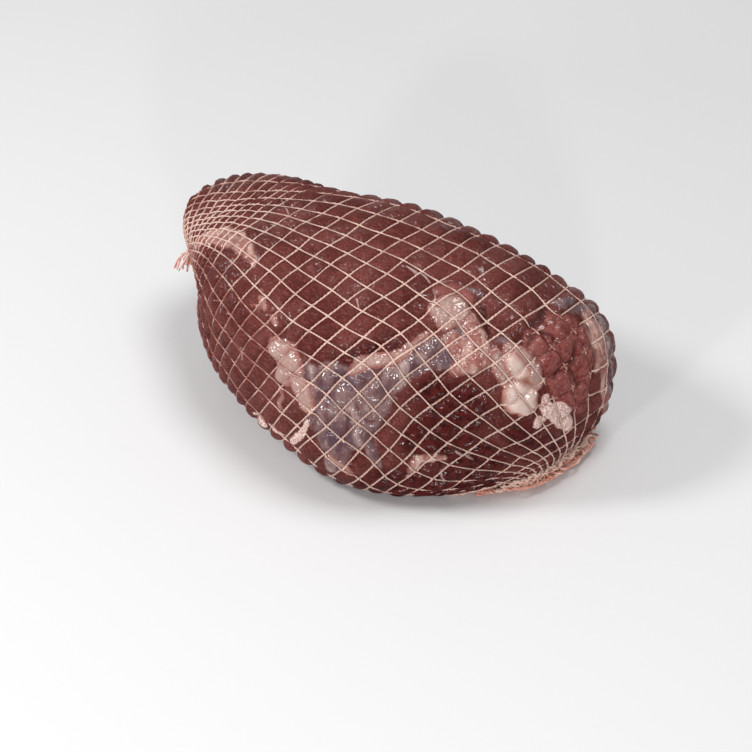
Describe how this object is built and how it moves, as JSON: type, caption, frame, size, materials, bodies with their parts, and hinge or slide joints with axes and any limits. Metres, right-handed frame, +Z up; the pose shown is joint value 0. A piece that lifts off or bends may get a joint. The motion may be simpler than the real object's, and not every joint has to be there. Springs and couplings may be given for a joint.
{
  "type": "netted raw beef shoulder roast",
  "caption": "Raw beef shoulder roast, wider and blunt at one end, tied tight in a square-meshed elastic net with a rolled hem and a gathered tuft.",
  "frame": {"origin": "middle of the bounding box in plan, at the height of the surface that the roast stands on", "axes": "+X along the roast from its narrow neck to its thick end, -Y its near side, +Z up"},
  "size_m": [0.1832, 0.1152, 0.0911],
  "materials": {
    "meat": "moist raw meat with fat and silverskin",
    "net": "cream elastic cord",
    "stained_net": "elastic cord stained by meat juice"
  },
  "bodies": {
    "root": {"roast": "meat", "netting": "net", "net_hem": "stained_net", "net_tuft": "stained_net"}
  },
  "joints": []
}
